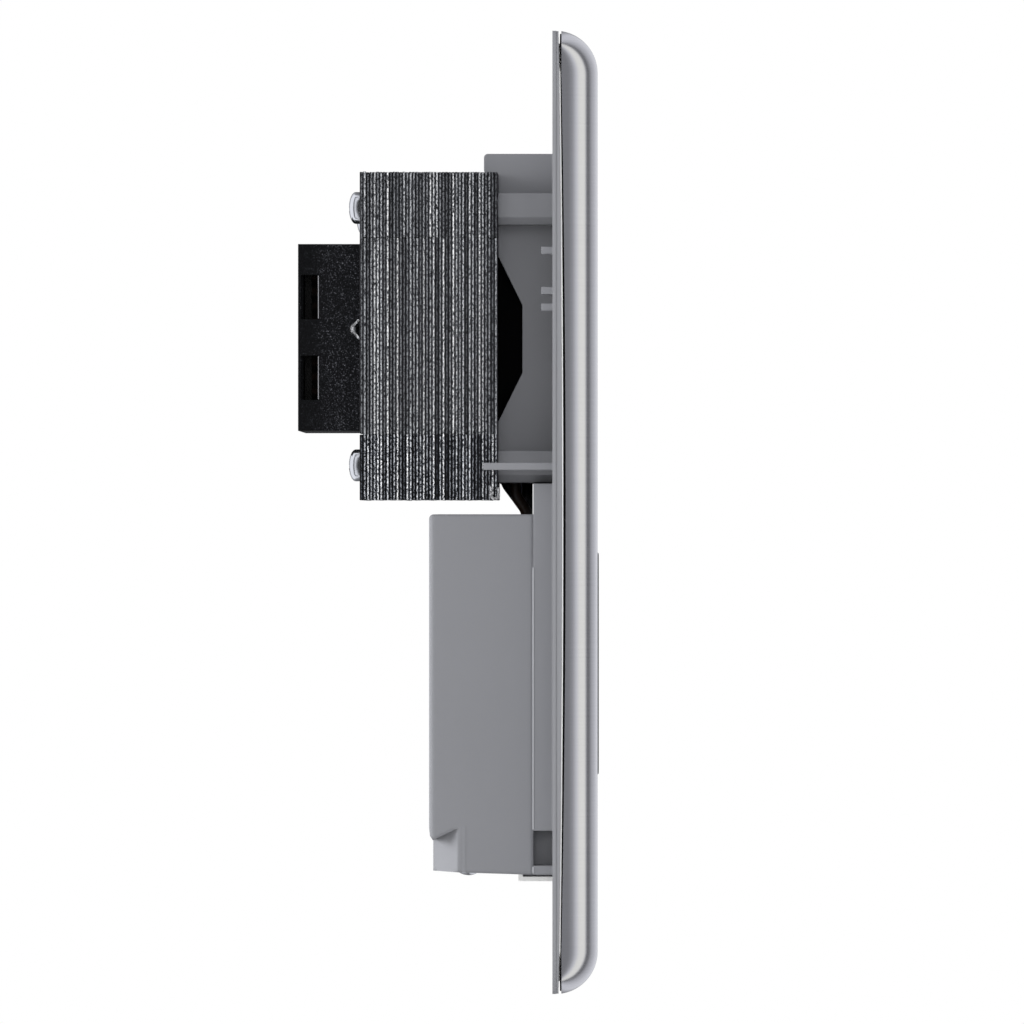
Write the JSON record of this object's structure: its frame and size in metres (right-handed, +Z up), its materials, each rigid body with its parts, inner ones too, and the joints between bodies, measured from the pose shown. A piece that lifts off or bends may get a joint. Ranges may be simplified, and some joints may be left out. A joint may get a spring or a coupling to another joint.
{
  "type": "shaver socket",
  "caption": "Two-voltage shaver supply unit: pressed steel plate on a moulded chassis, isolating transformer, shuttered outlets and a terminal housing behind.",
  "frame": {"origin": "middle of the two box screws, in the wall plane at the back of the chassis flange", "axes": "+Z up, +X to the right seen from the front, +Y into the wall"},
  "size_m": [0.086, 0.0462, 0.146],
  "materials": {
    "steel_plate": "brushed stainless steel",
    "liner": "thin pale insulating sheet",
    "grey_moulding": "moulded thermoset, light texture",
    "black_moulding": "moulded, fine texture",
    "shutter_moulding": "moulded, smooth",
    "spring_steel": "rolled strip",
    "bronze": "rolled phosphor bronze strip",
    "plated_steel": "bright zinc plate",
    "brass_block": "machined brass",
    "core_steel": "stacked electrical steel, cut edges",
    "bobbin_moulding": "moulded nylon, black",
    "black_felt": "pressed felt",
    "copper_wire": "enamelled copper wire, wound",
    "cover_black": "moulded, dusty black",
    "brown_sleeve": "extruded insulation",
    "blue_sleeve": "extruded insulation",
    "black_sleeve": "extruded insulation"
  },
  "bodies": {
    "unit": {"front_plate": "steel_plate", "insulating_liner": "liner", "chassis": "grey_moulding", "socket_face": "black_moulding", "spring_upper": "spring_steel", "spring_lower": "spring_steel", "contact_upper_left": "bronze", "contact_upper_right": "bronze", "contact_lower_left": "bronze", "contact_lower_right": "bronze", "common_link": "bronze", "rear_cover": "grey_moulding", "cover_screws": "plated_steel", "terminal_line": "brass_block", "terminal_earth": "brass_block", "terminal_neutral": "brass_block", "terminal_screws": "plated_steel", "earth_strap": "plated_steel", "core_laminations": "core_steel", "bobbin": "bobbin_moulding", "primary_winding": "copper_wire", "secondary_winding": "copper_wire", "coil_cover_rear": "cover_black", "coil_cover_front": "cover_black", "thermal_cutout": "bobbin_moulding", "felt_pads": "black_felt", "core_screws": "plated_steel", "core_earth_tag": "plated_steel", "solder_lug": "plated_steel", "lead_line": "brown_sleeve", "lead_neutral": "blue_sleeve", "lead_common": "black_sleeve", "lead_low": "black_sleeve", "lead_high": "brown_sleeve"},
    "upper_shutter": {"shutter_upper": "shutter_moulding"},
    "lower_shutter": {"shutter_lower": "shutter_moulding"}
  },
  "joints": [
    {"name": "shutter_upper_slide", "type": "slide", "parent": "unit", "child": "upper_shutter", "axis": [1, 0, 0], "range_m": [0, 0.0062], "stiffness_N_per_m": 250, "springref_m": -0.006, "deforming": ["spring_upper"]},
    {"name": "shutter_lower_slide", "type": "slide", "parent": "unit", "child": "lower_shutter", "axis": [-1, 0, 0], "range_m": [0, 0.0062], "stiffness_N_per_m": 250, "springref_m": -0.006, "deforming": ["spring_lower"]}
  ]
}
